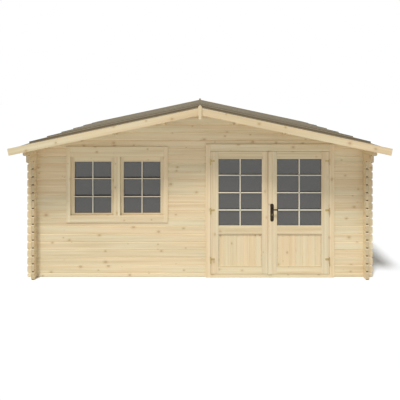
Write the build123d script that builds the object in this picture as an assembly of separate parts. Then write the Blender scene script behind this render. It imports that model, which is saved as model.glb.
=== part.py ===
from build123d import *
import os
from math import cos, radians, sin, tan

# Log cabin of notched planks with crossed corners, a low gable roof, a double door and a double window.
# Millimetres, +X to the right seen from the front, +Y to the back, +Z up, origin under the middle.

# Log walls
front_log_length = 5000.0
side_log_length = 4000.0
log_height = 113.0
log_thickness = 45.0
log_bevel = 6.0
log_end_bevel = 17.0
corner_overhang = 92.0
notch_clearance = 0.5
side_courses = 17
bracket_extension = 154.0
half_share = 0.5
gable_notch_share = 0.25

# Roof
roof_slope = 12.0
verge_overhang = 275.0
eave_overhang = 111.0
deck_thickness = 19.0
deck_setback = 14.0
felt_thickness = 12.0
felt_lap_rise = 15.0
felt_first_strip = 646.0
felt_first_thickness = 3.0
felt_strip_width = 686.0
felt_setback = 7.0
barge_depth = 96.0
barge_thickness = 19.0
barge_lip = 5.0
purlin_width = 45.0
purlin_height = 113.0
purlin_nose_height = 60.0
purlin_nose_length = 330.0
purlin_places = (0.0, 515.0, 1220.0)

# Apex plates over the joint of the bargeboards
apex_width = 50.0
apex_foot_width = 36.0
apex_rise = 40.0
apex_shoulder = 14.0
apex_drop = 156.0
apex_thickness = 18.0

# Floor
bearer_width = 60.0
bearer_height = 27.0
bearer_count = 6
floor_thickness = 18.0
floor_edge_gap = 10.0

# Boards round the openings
casing_thickness = 18.0

# Door frame
door_centre = 1010.0
door_clear_width = 1720.0
door_casing_width = 68.0
door_casing_top = 98.0
door_casing_lap = 60.0
jamb_thickness = 38.0
stop_width = 22.0
stop_gap = 5.0
threshold_height = 46.0

# Door leaves
leaf_thickness = 40.0
leaf_side_gap = 7.0
leaf_end_gap = 6.0
meeting_offset = -31.0
meeting_gap = 6.5
hinge_stile = 110.0
left_meeting_stile = 83.0
right_meeting_stile = 129.0
top_rail = 110.0
lock_rail = 117.0
bottom_rail = 103.0
panel_height = 475.0
panel_thickness = 14.0
panel_groove = 10.0
glass_thickness = 4.0
glass_groove = 8.0
groove_clearance = 0.3
cover_strip_width = 52.0
cover_strip_thickness = 10.0
cover_strip_gap = 3.0

# Door hinges
hinge_foot_offset = 198.0
hinge_head_offset = 153.0
knuckle_radius = 7.0
knuckle_length = 44.0
knuckle_gap = 1.0
knuckle_stand_off = 1.0
pin_radius = 4.0
pin_length = 34.0
pin_clearance = 0.3
hinge_plate_width = 58.0
hinge_plate_height = 26.0
hinge_plate_thickness = 2.5
hinge_strap_depth = 24.0
hinge_strap_thickness = 3.0

# Door handle
handle_height = 988.0
handle_backset = 57.0
plate_width = 43.0
plate_height = 250.0
plate_thickness = 6.0
plate_drop = 49.0
spindle_radius = 5.0
spindle_clearance = 0.5
neck_radius = 9.0
neck_length = 38.0
neck_gap = 0.3
lever_length = 74.0
lever_height = 16.0
lever_thickness = 11.0

# Window
window_centre = -1199.0
window_opening_width = 1408.0
window_sill_courses = 7
window_casing_width = 60.0
window_casing_thickness = 11.0
window_casing_lap = 32.0
window_casing_head = 150.0
window_casing_foot = 98.0
window_casing_drop = 54.5
window_casing_lift = 24.5
window_post = 32.0
window_mullion = 84.0
mullion_cover_width = 87.0
window_head = 125.0
window_sill = 22.0
window_frame_depth = 70.0
sash_recess = 24.0
sash_thickness = 36.0
sash_stile = 48.0
sash_top_rail = 74.5
sash_bottom_rail = 47.5

# One overrun for all cuts
overrun = 50.0

# Places worked out from the sizes above
slope_tan = tan(radians(roof_slope))
slope_cos = cos(radians(roof_slope))
slope_sin = sin(radians(roof_slope))
half_log = log_height * half_share
gable_notch = log_height * gable_notch_share
front_end = front_log_length * half_share
side_end = side_log_length * half_share
half_thickness = log_thickness * half_share
side_wall_x = front_end - corner_overhang - half_thickness
front_wall_y = side_end - corner_overhang - half_thickness
inside_x = side_wall_x - half_thickness
inside_y = front_wall_y - half_thickness
front_face_y = -front_wall_y - half_thickness
front_inner_y = -inside_y
casing_face_y = front_face_y - casing_thickness
wall_top = side_courses * log_height
opening_top = wall_top - half_log
verge_y = side_end + verge_overhang
verge_inner_y = verge_y - barge_thickness
eave_x = front_end + eave_overhang
deck_under_ridge = wall_top + side_wall_x * slope_tan
deck_over_ridge = deck_under_ridge + deck_thickness / slope_cos
felt_over_ridge = deck_over_ridge + felt_thickness / slope_cos
barge_ridge = felt_over_ridge + barge_lip / slope_cos


def block(x_low, x_high, y_low, y_high, z_low, z_high):
    """Box between two corners."""
    size = (x_high - x_low, y_high - y_low, z_high - z_low)
    low_corner = (Align.MIN, Align.MIN, Align.MIN)
    return Pos(x_low, y_low, z_low) * Box(*size, align=low_corner)


def prism_along_y(outline, y_low, y_high):
    """Solid with an outline in X and Z that runs from y_low to y_high."""
    corners = [(x, y_low, z) for x, z in outline]
    face = make_face(Polyline(*corners, close=True))
    return extrude(face, amount=y_high - y_low, dir=(0, 1, 0))


def upright_rod(x, y, z_low, z_high, radius):
    """Upright cylinder."""
    low_end = (Align.CENTER, Align.CENTER, Align.MIN)
    return Pos(x, y, z_low) * Cylinder(radius, z_high - z_low, align=low_end)


def rod_along_y(x, z, y_low, y_high, radius):
    """Cylinder that runs from front to back."""
    low_end = (Align.CENTER, Align.CENTER, Align.MAX)
    return Pos(x, y_low, z) * Rot(X=90) * Cylinder(radius, y_high - y_low, align=low_end)


def deck_under(x):
    """Height of the underside of the roof deck over x."""
    return deck_under_ridge - slope_tan * abs(x)


def log(low, high, z_low, z_high, free_low, free_high, crossing, notch_depth):
    """One log along X over Y = 0, bevelled along its edges, with a notch below at each wall it crosses."""
    notch_half = half_thickness + notch_clearance
    below = []
    above = []
    for end, free, inward in ((low, free_low, 1), (high, free_high, -1)):
        if not free:
            below.append((end, z_low))
            above.append((end, z_high))
            continue
        bevel_x = end + inward * log_end_bevel
        outer = -inward * (crossing + notch_half)
        inner = -inward * (crossing - notch_half)
        foot = [(end, z_low + log_end_bevel), (bevel_x, z_low)]
        if notch_depth > 0:
            notch_z = z_low + notch_depth
            foot += [(outer, z_low), (outer, notch_z), (inner, notch_z), (inner, z_low)]
        below += foot if inward > 0 else foot[::-1]
        top = [(end, z_high - log_end_bevel), (bevel_x, z_high)]
        above += top if inward > 0 else top[::-1]
    body = prism_along_y(below + above[::-1], -half_thickness, half_thickness)
    inner_half = half_thickness - log_bevel
    section = [(-half_thickness, z_low + log_bevel), (-inner_half, z_low), (inner_half, z_low)]
    section += [(half_thickness, z_low + log_bevel), (half_thickness, z_high - log_bevel)]
    section += [(inner_half, z_high), (-inner_half, z_high), (-half_thickness, z_high - log_bevel)]
    corners = [(low, y, z) for y, z in section]
    bar = extrude(make_face(Polyline(*corners, close=True)), amount=high - low, dir=(1, 0, 0))
    return body & bar


def save(name, *solids):
    """Write one node, which may hold several solids that stand apart."""
    pieces = [solid for shape in solids for solid in shape.solids()]
    export_step(Compound(pieces) if len(pieces) > 1 else pieces[0], os.path.join("parts", name + ".step"))


os.makedirs("parts", exist_ok=True)

# Purlins run through both gables to the bargeboards. Their tops are cut to the roof slope, and outside the
# gables they taper, so that the bargeboards hide their ends.
purlins = []
nose_y = verge_inner_y - purlin_nose_length
for place in purlin_places:
    for x in sorted({-place, place}):
        left, right = x - purlin_width * half_share, x + purlin_width * half_share
        foot = deck_under(x) - purlin_height
        outline = [(left, foot), (right, foot), (right, deck_under(right))]
        if left < 0 < right:
            outline.append((0, deck_under_ridge))
        outline.append((left, deck_under(left)))
        beam = prism_along_y(outline, -verge_inner_y, verge_inner_y)
        nose_z = deck_under(x) - purlin_nose_height
        side = [(-verge_inner_y, nose_z), (-nose_y, foot), (nose_y, foot), (verge_inner_y, nose_z)]
        side += [(verge_inner_y, deck_under_ridge), (-verge_inner_y, deck_under_ridge)]
        corners = [(left, y, z) for y, z in side]
        tapered = extrude(make_face(Polyline(*corners, close=True)), amount=purlin_width, dir=(1, 0, 0))
        purlins.append(beam & tapered)
save("roof_purlins", *purlins)

# Space over the roof deck's underside, which trims the gables and the top logs of the side walls
over_deck_top = deck_under_ridge + overrun
over_deck = prism_along_y(
    [
        (-eave_x, deck_under(eave_x)),
        (0, deck_under_ridge),
        (eave_x, deck_under(eave_x)),
        (eave_x, over_deck_top),
        (-eave_x, over_deck_top),
    ],
    -verge_y,
    verge_y,
)

# Openings in the front wall, each from side to side and from foot to head
door_half_opening = door_clear_width * half_share + jamb_thickness
door_low_x, door_high_x = door_centre - door_half_opening, door_centre + door_half_opening
window_half_opening = window_opening_width * half_share
window_low_x, window_high_x = window_centre - window_half_opening, window_centre + window_half_opening
window_low_z = half_log + window_sill_courses * log_height
front_openings = [
    (window_low_x, window_high_x, window_low_z, opening_top),
    (door_low_x, door_high_x, 0.0, opening_top),
]


def gable_wall(openings):
    """Courses of a front or back wall with its gable, as lists of odd and even logs over Y = 0."""
    courses = ([], [])
    edges = [0.0, half_log]
    while edges[-1] < deck_under_ridge:
        edges.append(edges[-1] + log_height)
    for course, (z_low, z_high) in enumerate(zip(edges, edges[1:])):
        reach = min(front_end, (deck_under_ridge - z_low) / slope_tan)
        starts, ends = [-reach], []
        for x_low, x_high, foot, head in openings:
            if foot < (z_low + z_high) * half_share < head:
                ends.append(x_low)
                starts.append(x_high)
        ends.append(reach)
        crosses = reach == front_end
        in_gable = z_high > wall_top
        notch_depth = half_log if course > 0 else 0.0
        if in_gable:
            notch_depth = gable_notch
        for start, end in zip(starts, ends):
            free_low = crosses and start == -reach
            free_high = crosses and end == reach
            piece = log(start, end, z_low, z_high, free_low, free_high, side_wall_x, notch_depth)
            if in_gable:
                piece = piece - over_deck
                for purlin in purlins:
                    piece = piece - purlin
            courses[course % 2].append(piece)
    return courses


# Front and back walls start with a half log, so that their joints lie between those of the side walls.
front_place = Pos(Y=-front_wall_y)
back_place = Pos(Y=front_wall_y)
front_odd, front_even = gable_wall(front_openings)
back_odd, back_even = gable_wall([])
save("front_wall_odd_logs", *[front_place * piece for piece in front_odd])
save("front_wall_even_logs", *[front_place * piece for piece in front_even])
save("back_wall_odd_logs", *[back_place * piece for piece in back_odd])
save("back_wall_even_logs", *[back_place * piece for piece in back_even])

# Side walls are whole logs. The two top logs reach further out and carry the roof's overhang.
quarter_turn = Rot(Z=90)
for side, wall_x in (("left", -side_wall_x), ("right", side_wall_x)):
    courses = ([], [])
    for course in range(side_courses):
        z_low, z_high = course * log_height, (course + 1) * log_height
        reach = side_end
        if course == side_courses - 2:
            reach = side_end + bracket_extension
        if course == side_courses - 1:
            reach = verge_inner_y
            z_high += log_thickness * slope_tan
        piece = log(-reach, reach, z_low, z_high, True, True, front_wall_y, half_log)
        piece = Pos(X=wall_x) * quarter_turn * piece
        if course == side_courses - 1:
            crossing_half = half_thickness + notch_clearance
            trim_low = wall_top - half_log + gable_notch
            piece = block(
                wall_x - half_thickness,
                wall_x + half_thickness,
                -reach,
                reach,
                z_low + log_height * half_share,
                z_high,
            ) + piece
            piece = piece - over_deck
            for wall_y in (-front_wall_y, front_wall_y):
                piece = piece - block(
                    wall_x - log_thickness,
                    wall_x + log_thickness,
                    wall_y - crossing_half,
                    wall_y + crossing_half,
                    trim_low,
                    over_deck_top,
                )
        courses[course % 2].append(piece)
    save(side + "_wall_odd_logs", *courses[0])
    save(side + "_wall_even_logs", *courses[1])

# Roof deck, felt and bargeboards, made for the right slope and mirrored for the left
deck_x = eave_x - deck_setback
felt_x = eave_x - felt_setback
deck_outline = [
    (0, deck_under_ridge),
    (deck_x, deck_under(deck_x)),
    (deck_x, deck_over_ridge - slope_tan * deck_x),
    (0, deck_over_ridge),
]
deck = prism_along_y(deck_outline, -verge_inner_y, verge_inner_y)

# Felt strips run from eave to ridge, and the near edge of each but the first lies over the one before.
seams = [-verge_inner_y, felt_first_strip - verge_inner_y]
while seams[-1] < verge_inner_y:
    seams.append(min(seams[-1] + felt_strip_width, verge_inner_y))
felt_foot = deck_over_ridge - slope_tan * felt_x
slope_run = felt_x / slope_cos
felt_profile = [(seams[0], 0.0), (seams[0], felt_first_thickness), (seams[1], felt_first_thickness)]
for near, far in zip(seams[1:], seams[2:]):
    rise = felt_lap_rise * (far - near) / felt_strip_width
    felt_profile += [(near, felt_thickness + rise), (far, felt_thickness)]
felt_profile.append((seams[-1], 0.0))
low_margin = felt_thickness + felt_lap_rise
felt_points = []
for y, lift in felt_profile:
    x_at = felt_x + lift * slope_sin + low_margin
    felt_points.append((x_at, y, felt_foot + lift * slope_cos - low_margin * slope_tan))
up_slope = (-slope_cos, 0, slope_sin)
felt = extrude(make_face(Polyline(*felt_points, close=True)), amount=slope_run + overrun, dir=up_slope)
felt = felt & block(0, felt_x, -verge_y, verge_y, 0, over_deck_top + overrun)

barge_foot_x = eave_x - barge_depth * slope_sin
barge_outline = [
    (0, barge_ridge - barge_depth / slope_cos),
    (barge_foot_x, barge_ridge - slope_tan * eave_x - barge_depth * slope_cos),
    (eave_x, barge_ridge - slope_tan * eave_x),
    (0, barge_ridge),
]
front_barge = prism_along_y(barge_outline, -verge_y, -verge_inner_y)
back_barge = prism_along_y(barge_outline, verge_inner_y, verge_y)
for side, flip in (("right", False), ("left", True)):
    turned = [mirror(s, about=Plane.YZ) if flip else s for s in (deck, felt, front_barge, back_barge)]
    save(side + "_roof_deck", turned[0])
    save(side + "_roof_felt", turned[1])
    save(side + "_bargeboards", turned[2], turned[3])

# Pointed plates cover the joint of the bargeboards at both ends of the ridge.
apex_outline = [
    (-apex_foot_width * half_share, barge_ridge - apex_drop),
    (apex_foot_width * half_share, barge_ridge - apex_drop),
    (apex_width * half_share, barge_ridge + apex_shoulder),
    (0, barge_ridge + apex_rise),
    (-apex_width * half_share, barge_ridge + apex_shoulder),
]
save(
    "apex_plates",
    prism_along_y(apex_outline, -verge_y - apex_thickness, -verge_y),
    prism_along_y(apex_outline, verge_y, verge_y + apex_thickness),
)

# Floor of boards on bearers that lie on the ground between the side walls
bearer_reach = inside_y - floor_edge_gap - bearer_width
bearer_step = (bearer_reach + bearer_reach) / (bearer_count - 1)
bearers = []
for index in range(bearer_count):
    y = -bearer_reach + index * bearer_step
    bearer_half = bearer_width * half_share
    bearers.append(block(-inside_x, inside_x, y - bearer_half, y + bearer_half, 0, bearer_height))
save("floor_bearers", *bearers)
floor_x = inside_x - floor_edge_gap
floor_y = inside_y - floor_edge_gap
floor_top = bearer_height + floor_thickness
save("floor_boards", block(-floor_x, floor_x, -floor_y, floor_y, bearer_height, floor_top))

# Door frame: rebated jambs and head round the leaves, over a threshold
clear_low_x = door_centre - door_clear_width * half_share
clear_high_x = door_centre + door_clear_width * half_share
leaf_face_y = casing_face_y
leaf_back_y = leaf_face_y + leaf_thickness
stop_y = leaf_back_y + stop_gap
head_z = opening_top - jamb_thickness
left_jamb = block(door_low_x, clear_low_x, front_face_y, front_inner_y, threshold_height, head_z)
left_jamb += block(clear_low_x, clear_low_x + stop_width, stop_y, front_inner_y, threshold_height, head_z)
right_jamb = block(clear_high_x, door_high_x, front_face_y, front_inner_y, threshold_height, head_z)
right_stop_x = clear_high_x - stop_width
right_jamb += block(right_stop_x, clear_high_x, stop_y, front_inner_y, threshold_height, head_z)
save("door_jambs", left_jamb, right_jamb)
head = block(door_low_x, door_high_x, front_face_y, front_inner_y, head_z, opening_top)
head_stop_low, head_stop_high = clear_low_x + stop_width, clear_high_x - stop_width
head += block(head_stop_low, head_stop_high, stop_y, front_inner_y, head_z - stop_width, head_z)
save("door_head", head)
threshold = block(door_low_x, door_high_x, front_face_y, front_inner_y, 0, threshold_height)
threshold += block(clear_low_x, clear_high_x, casing_face_y, front_face_y, 0, threshold_height)
save("door_threshold", threshold)
casing_high_z = opening_top + door_casing_lap
left_casing = block(
    clear_low_x - door_casing_width, clear_low_x, casing_face_y, front_face_y, 0, casing_high_z
)
right_casing = block(
    clear_high_x, clear_high_x + door_casing_width, casing_face_y, front_face_y, 0, casing_high_z
)
save("door_casing_uprights", left_casing, right_casing)
casing_low_z = casing_high_z - door_casing_top
save(
    "door_casing_top",
    block(clear_low_x, clear_high_x, casing_face_y, front_face_y, casing_low_z, casing_high_z),
)

# Door leaves: stiles and rails, with glass over a boarded panel set in grooves
leaf_low_z = threshold_height + leaf_end_gap
leaf_high_z = head_z - leaf_end_gap
panel_low_z = leaf_low_z + bottom_rail
panel_high_z = panel_low_z + panel_height
glass_low_z = panel_high_z + lock_rail
glass_high_z = leaf_high_z - top_rail
meeting_x = door_centre + meeting_offset
leaf_mid_y = leaf_face_y + leaf_thickness * half_share
glass_half = glass_thickness * half_share
panel_half = panel_thickness * half_share
left_leaf_low = clear_low_x + leaf_side_gap
left_leaf_high = meeting_x - meeting_gap * half_share
right_leaf_low = meeting_x + meeting_gap * half_share
right_leaf_high = clear_high_x - leaf_side_gap
handle_x = right_leaf_low + handle_backset
bore_radius = spindle_radius + spindle_clearance
for side, low_x, high_x, low_stile, high_stile in (
    ("left", left_leaf_low, left_leaf_high, hinge_stile, left_meeting_stile),
    ("right", right_leaf_low, right_leaf_high, right_meeting_stile, hinge_stile),
):
    field_low, field_high = low_x + low_stile, high_x - high_stile
    glass = block(
        field_low - glass_groove,
        field_high + glass_groove,
        leaf_mid_y - glass_half,
        leaf_mid_y + glass_half,
        glass_low_z - glass_groove,
        glass_high_z + glass_groove,
    )
    panel = block(
        field_low - panel_groove,
        field_high + panel_groove,
        leaf_mid_y - panel_half,
        leaf_mid_y + panel_half,
        panel_low_z - panel_groove,
        panel_high_z + panel_groove,
    )
    grooves = [
        block(
            field_low - depth - groove_clearance,
            field_high + depth + groove_clearance,
            leaf_mid_y - half - groove_clearance,
            leaf_mid_y + half + groove_clearance,
            z_low - depth - groove_clearance,
            z_high + depth + groove_clearance,
        )
        for depth, half, z_low, z_high in (
            (glass_groove, glass_half, glass_low_z, glass_high_z),
            (panel_groove, panel_half, panel_low_z, panel_high_z),
        )
    ]
    stiles = [
        block(low_x, field_low, leaf_face_y, leaf_back_y, leaf_low_z, leaf_high_z),
        block(field_high, high_x, leaf_face_y, leaf_back_y, leaf_low_z, leaf_high_z),
    ]
    rails = [
        block(field_low, field_high, leaf_face_y, leaf_back_y, z_low, z_high)
        for z_low, z_high in (
            (leaf_low_z, panel_low_z),
            (panel_high_z, glass_low_z),
            (glass_high_z, leaf_high_z),
        )
    ]
    stiles = [stile - grooves[0] - grooves[1] for stile in stiles]
    rails = [rail - grooves[0] - grooves[1] for rail in rails]
    if side == "right":
        bore_low, bore_high = leaf_face_y - overrun, leaf_back_y + overrun
        stiles[0] = stiles[0] - rod_along_y(handle_x, handle_height, bore_low, bore_high, bore_radius)
    save(side + "_door_stiles", *stiles)
    save(side + "_door_rails", *rails)
    save(side + "_door_panel", panel)
    save(side + "_door_glass", glass)

# A strip on the right leaf covers its meeting edge, in two lengths that end above and below the handle.
plate_mid_z = handle_height - plate_drop
strip_foot_z = plate_mid_z - plate_height * half_share - cover_strip_gap
strip_head_z = plate_mid_z + plate_height * half_share + cover_strip_gap
strip_high_x = right_leaf_low + cover_strip_width
strip_face_y = leaf_face_y - cover_strip_thickness
save(
    "door_cover_strip",
    block(right_leaf_low, strip_high_x, strip_face_y, leaf_face_y, leaf_low_z, strip_foot_z),
    block(right_leaf_low, strip_high_x, strip_face_y, leaf_face_y, strip_head_z, leaf_high_z),
)

# Lift-off hinges: a pin on the frame stands in the knuckle of a plate on the leaf.
pin_y = leaf_face_y - knuckle_radius - knuckle_stand_off
lowest_hinge = leaf_low_z + hinge_foot_offset
highest_hinge = leaf_high_z - hinge_head_offset
hinge_heights = (lowest_hinge, (lowest_hinge + highest_hinge) * half_share, highest_hinge)
for side, pin_x, inward in (
    ("left", clear_low_x + leaf_side_gap * half_share, 1),
    ("right", clear_high_x - leaf_side_gap * half_share, -1),
):
    frame_halves = []
    leaf_halves = []
    edge_x = clear_low_x if inward > 0 else clear_high_x
    for z in hinge_heights:
        knuckle_low = z + knuckle_gap
        knuckle_high = knuckle_low + knuckle_length
        half = upright_rod(pin_x, pin_y, z - knuckle_length, z, knuckle_radius)
        half += upright_rod(pin_x, pin_y, z, z + pin_length, pin_radius)
        strap_x = sorted((edge_x, edge_x + inward * hinge_strap_thickness))
        half += block(*strap_x, pin_y, pin_y + hinge_strap_depth, z - knuckle_length, z)
        frame_halves.append(half)
        leaf_half = upright_rod(pin_x, pin_y, knuckle_low, knuckle_high, knuckle_radius)
        plate_x = sorted((pin_x, pin_x + inward * hinge_plate_width))
        plate_face = leaf_face_y - hinge_plate_thickness
        plate_high = knuckle_low + hinge_plate_height
        leaf_half += block(*plate_x, plate_face, leaf_face_y, knuckle_low, plate_high)
        leaf_half -= upright_rod(pin_x, pin_y, z, knuckle_high + overrun, pin_radius + pin_clearance)
        leaf_halves.append(leaf_half)
    save(side + "_hinge_pins", *frame_halves)
    save(side + "_hinge_plates", *leaf_halves)

# Handle plates with round ends on both faces of the right leaf, and the levers on one spindle
plate_shape = Pos(handle_x, plate_mid_z) * SlotOverall(plate_height, plate_width, rotation=90)
plates = []
for y_low, y_high in (
    (leaf_face_y - plate_thickness, leaf_face_y),
    (leaf_back_y, leaf_back_y + plate_thickness),
):
    plate = Pos(Y=y_high) * extrude(Plane.XZ * plate_shape, amount=y_high - y_low)
    bore = rod_along_y(handle_x, handle_height, y_low - overrun, y_high + overrun, bore_radius)
    plates.append(plate - bore)
save("door_handle_plates", *plates)
outer_neck_y = leaf_face_y - plate_thickness - neck_gap
inner_neck_y = leaf_back_y + plate_thickness + neck_gap
lever = rod_along_y(handle_x, handle_height, outer_neck_y, inner_neck_y, spindle_radius)
for y_low, y_high, arm_low in (
    (outer_neck_y - neck_length, outer_neck_y, outer_neck_y - neck_length),
    (inner_neck_y, inner_neck_y + neck_length, inner_neck_y + neck_length - lever_thickness),
):
    lever += rod_along_y(handle_x, handle_height, y_low, y_high, neck_radius)
    arm_shape = Pos(handle_x + lever_length * half_share, handle_height) * SlotOverall(
        lever_length + lever_height, lever_height
    )
    lever += Pos(Y=arm_low + lever_thickness) * extrude(Plane.XZ * arm_shape, amount=lever_thickness)
save("door_lever", lever)

# Window frame of posts, head and sill in the opening
frame_back_y = front_face_y + window_frame_depth
frame_low_z = window_low_z + window_sill
frame_high_z = opening_top - window_head
mullion_half = window_mullion * half_share
posts = [
    block(x_low, x_high, front_face_y, frame_back_y, frame_low_z, frame_high_z)
    for x_low, x_high in (
        (window_low_x, window_low_x + window_post),
        (window_centre - mullion_half, window_centre + mullion_half),
        (window_high_x - window_post, window_high_x),
    )
]
save("window_posts", *posts)
save(
    "window_head_and_sill",
    block(window_low_x, window_high_x, front_face_y, frame_back_y, window_low_z, frame_low_z),
    block(window_low_x, window_high_x, front_face_y, frame_back_y, frame_high_z, opening_top),
)

# Two fixed sashes with their glass in grooves
sash_face_y = front_face_y + sash_recess
sash_back_y = sash_face_y + sash_thickness
sash_mid_y = sash_face_y + sash_thickness * half_share
sash_stiles = []
sash_rails = []
window_glass = []
for low_x, high_x in (
    (window_low_x + window_post, window_centre - mullion_half),
    (window_centre + mullion_half, window_high_x - window_post),
):
    field_low, field_high = low_x + sash_stile, high_x - sash_stile
    field_foot, field_top = frame_low_z + sash_bottom_rail, frame_high_z - sash_top_rail
    window_glass.append(
        block(
            field_low - glass_groove,
            field_high + glass_groove,
            sash_mid_y - glass_half,
            sash_mid_y + glass_half,
            field_foot - glass_groove,
            field_top + glass_groove,
        )
    )
    groove_reach = glass_groove + groove_clearance
    groove_half = glass_half + groove_clearance
    groove = block(
        field_low - groove_reach,
        field_high + groove_reach,
        sash_mid_y - groove_half,
        sash_mid_y + groove_half,
        field_foot - groove_reach,
        field_top + groove_reach,
    )
    for x_low, x_high in ((low_x, field_low), (field_high, high_x)):
        stile = block(x_low, x_high, sash_face_y, sash_back_y, frame_low_z, frame_high_z)
        sash_stiles.append(stile - groove)
    for z_low, z_high in ((frame_low_z, field_foot), (field_top, frame_high_z)):
        rail = block(field_low, field_high, sash_face_y, sash_back_y, z_low, z_high)
        sash_rails.append(rail - groove)
save("window_sash_stiles", *sash_stiles)
save("window_sash_rails", *sash_rails)
save("window_glass", *window_glass)

# Casing boards round the window and over its mullion
casing_low_x, casing_high_x = window_low_x - window_casing_lap, window_high_x + window_casing_lap
casing_foot_z = window_low_z - window_casing_drop
casing_head_z = opening_top + window_casing_lift
foot_board_z = casing_foot_z + window_casing_foot
head_board_z = casing_head_z - window_casing_head
window_casing_face_y = front_face_y - window_casing_thickness
cover_half = mullion_cover_width * half_share
uprights = [
    block(x_low, x_high, window_casing_face_y, front_face_y, z_low, z_high)
    for x_low, x_high, z_low, z_high in (
        (casing_low_x, casing_low_x + window_casing_width, casing_foot_z, casing_head_z),
        (window_centre - cover_half, window_centre + cover_half, foot_board_z, head_board_z),
        (casing_high_x - window_casing_width, casing_high_x, casing_foot_z, casing_head_z),
    )
]
save("window_casing_uprights", *uprights)
board_low_x, board_high_x = casing_low_x + window_casing_width, casing_high_x - window_casing_width
save(
    "window_casing_boards",
    block(board_low_x, board_high_x, window_casing_face_y, front_face_y, casing_foot_z, foot_board_z),
    block(board_low_x, board_high_x, window_casing_face_y, front_face_y, head_board_z, casing_head_z),
)
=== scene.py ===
from itertools import product
from math import cos, pi, radians, sin, tan

import bmesh
import bpy
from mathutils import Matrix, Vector


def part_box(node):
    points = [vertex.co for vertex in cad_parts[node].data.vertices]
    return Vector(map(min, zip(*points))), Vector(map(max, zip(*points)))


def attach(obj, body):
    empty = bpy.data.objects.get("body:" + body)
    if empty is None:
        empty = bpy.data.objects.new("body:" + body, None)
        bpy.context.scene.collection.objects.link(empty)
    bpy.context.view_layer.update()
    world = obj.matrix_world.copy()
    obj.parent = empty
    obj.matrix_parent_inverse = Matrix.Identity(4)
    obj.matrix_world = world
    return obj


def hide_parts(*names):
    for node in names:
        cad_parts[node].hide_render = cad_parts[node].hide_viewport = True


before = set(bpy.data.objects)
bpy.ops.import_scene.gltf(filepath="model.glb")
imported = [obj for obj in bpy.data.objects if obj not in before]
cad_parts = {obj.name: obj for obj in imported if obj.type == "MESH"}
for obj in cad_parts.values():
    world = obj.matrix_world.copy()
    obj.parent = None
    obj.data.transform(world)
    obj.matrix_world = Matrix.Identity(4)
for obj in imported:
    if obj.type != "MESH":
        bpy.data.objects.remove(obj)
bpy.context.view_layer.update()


# Floor bearers
# Square pine battens that lie on the ground inside the side walls and carry the floor.
# They are planed and left plain, so this section also sets out the pine that all the woodwork is cut from.
def put(tree, kind, feeds=(), **options):
    """Adds one shader node. Each feed is a socket and the value or output that goes into it."""
    node = tree.nodes.new("ShaderNode" + kind)
    for option, value in options.items():
        setattr(node, option, value)
    for socket, feed in feeds:
        if isinstance(feed, bpy.types.NodeSocket):
            tree.links.new(feed, node.inputs[socket])
        else:
            node.inputs[socket].default_value = feed
    return node


def reckon(tree, operation, *feeds):
    """Result of one sum."""
    return put(tree, "Math", enumerate(feeds), operation=operation).outputs["Value"]


def times(tree, *feeds):
    """Product of two numbers."""
    return reckon(tree, "MULTIPLY", *feeds)


def weigh(tree, base, *parts):
    """Sum of a base and some parts, each at its weight."""
    for part, weight in parts:
        base = reckon(tree, "MULTIPLY_ADD", part, weight, base)
    return base


def measure(tree, operation, *feeds):
    """Result of one vector sum, as a number for a dot product and as a vector otherwise."""
    node = put(tree, "VectorMath", enumerate(feeds), operation=operation)
    return node.outputs["Value" if operation == "DOT_PRODUCT" else "Vector"]


def join_ways(tree, x, y, z):
    """Vector of three numbers."""
    return put(tree, "CombineXYZ", (("X", x), ("Y", y), ("Z", z))).outputs["Vector"]


def ramp(tree, value, low, high, at_low=0.0, at_high=1.0):
    """Soft step from one value to another."""
    feeds = (("Value", value), ("From Min", low), ("From Max", high), ("To Min", at_low), ("To Max", at_high))
    return put(tree, "MapRange", feeds, interpolation_type="SMOOTHSTEP").outputs["Result"]


def lay_colour(tree, share, under, over, way="MIX"):
    """One colour laid over another."""
    feeds = (("Factor", share), (6, under), (7, over))
    return put(tree, "Mix", feeds, data_type="RGBA", blend_type=way).outputs[2]


def mottle(tree, place, detail=2.0):
    """Cloudy value from 0 to 1."""
    feeds = (("Vector", place), ("Scale", 1.0), ("Detail", detail))
    return put(tree, "TexNoise", feeds).outputs["Fac"]


def start_group(name, takes, gives):
    """Empty shader group with its named sockets."""
    group = bpy.data.node_groups.new(name, "ShaderNodeTree")
    for socket_name, kind, value in takes:
        socket = group.interface.new_socket(socket_name, in_out="INPUT", socket_type="NodeSocket" + kind)
        socket.default_value = value
    for socket_name, kind in gives:
        group.interface.new_socket(socket_name, in_out="OUTPUT", socket_type="NodeSocket" + kind)
    return group, group.nodes.new("NodeGroupInput").outputs, group.nodes.new("NodeGroupOutput").inputs


knot_step_along = 0.40
knot_step_across = 0.12
largest_knot = 0.016
least_knot = 0.00001
knotless_share = 0.35
knot_length_share = 0.75
knot_strength = 0.46
knot_rim_strength = 0.34
knot_core_fade = (0.6, 1.15)
knot_rim_fade = (0.35, 0.9)
knot_halo_fade = (0.7, 3.2)
board_luck_step = 7.31
depth_luck_step = 3.17
board_shift = 37.0
ring_gap = 0.0085
ring_tilt = 0.6
ring_wander = 7.0
ring_knot_swing = 1.6
late_wood_sharpness = 2.5
dark_start = -1.25
end_ring_gap = 0.0032
end_ring_bow = 2.2
# Size and softness of the spot of painted shade in the gap over each log tongue.
groove_shade_half_width = 0.0125
groove_shade_half_height = 0.0085
groove_shade_softness = 0.8
pine_gloss = 0.3
pine_roughness = 0.55
pine_roughness_spread = 0.16
grain_strength = 0.35
grain_depth = 0.0012
pale_pine = (0.830, 0.715, 0.500, 1.0)
dark_pine = (0.630, 0.485, 0.285, 1.0)
knot_brown = (0.450, 0.290, 0.150, 1.0)
knot_rim = (0.260, 0.150, 0.075, 1.0)
end_pine = (0.615, 0.500, 0.318, 1.0)
end_ring_pine = (0.475, 0.365, 0.208, 1.0)
# Painted shade in the gap over each tongue at the log ends.
groove_painted_shade = (0.180, 0.122, 0.062, 1.0)
pink_tint = (1.0, 0.950, 0.900, 1.0)
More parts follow.
